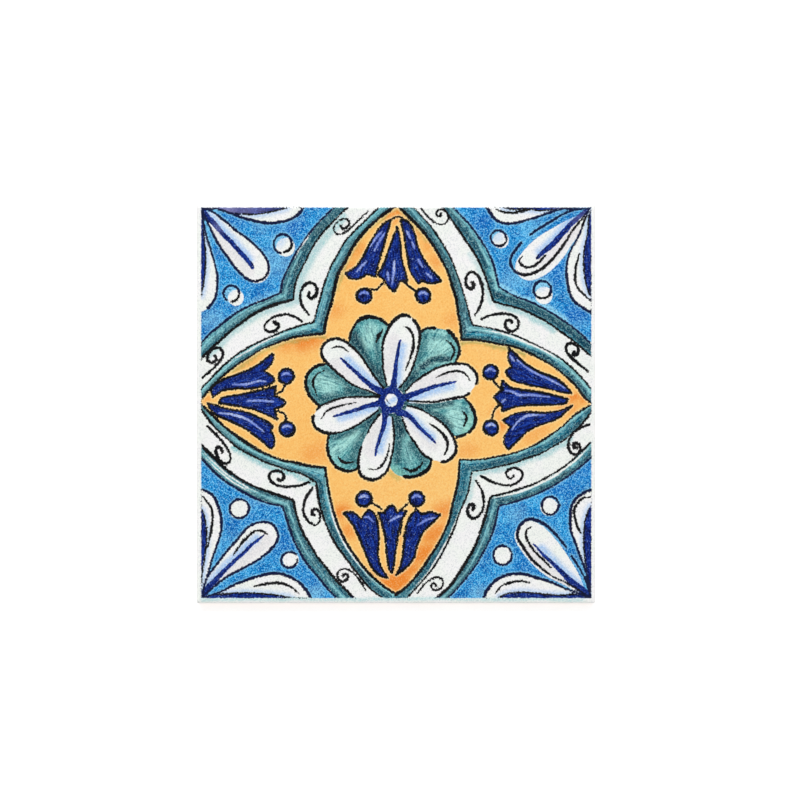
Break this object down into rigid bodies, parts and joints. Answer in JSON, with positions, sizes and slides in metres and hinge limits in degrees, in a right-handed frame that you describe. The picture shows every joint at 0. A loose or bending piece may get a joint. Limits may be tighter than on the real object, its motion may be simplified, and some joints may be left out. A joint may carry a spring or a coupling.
{
  "type": "majolica tile",
  "caption": "Square glazed wall tile painted with a star, rosette, lilies and corner petals, with cushioned edges and a grooved back.",
  "frame": {"origin": "middle of the tile's back, level with the lands between its key grooves", "axes": "+Z out of the glazed face, through the thickness; +Y to the top of the pictured pattern; +X to its right, along the key grooves"},
  "size_m": [0.2, 0.2, 0.008],
  "materials": {
    "glazed_tile": "gloss"
  },
  "bodies": {
    "root": {"tile": "glazed_tile"}
  },
  "joints": []
}
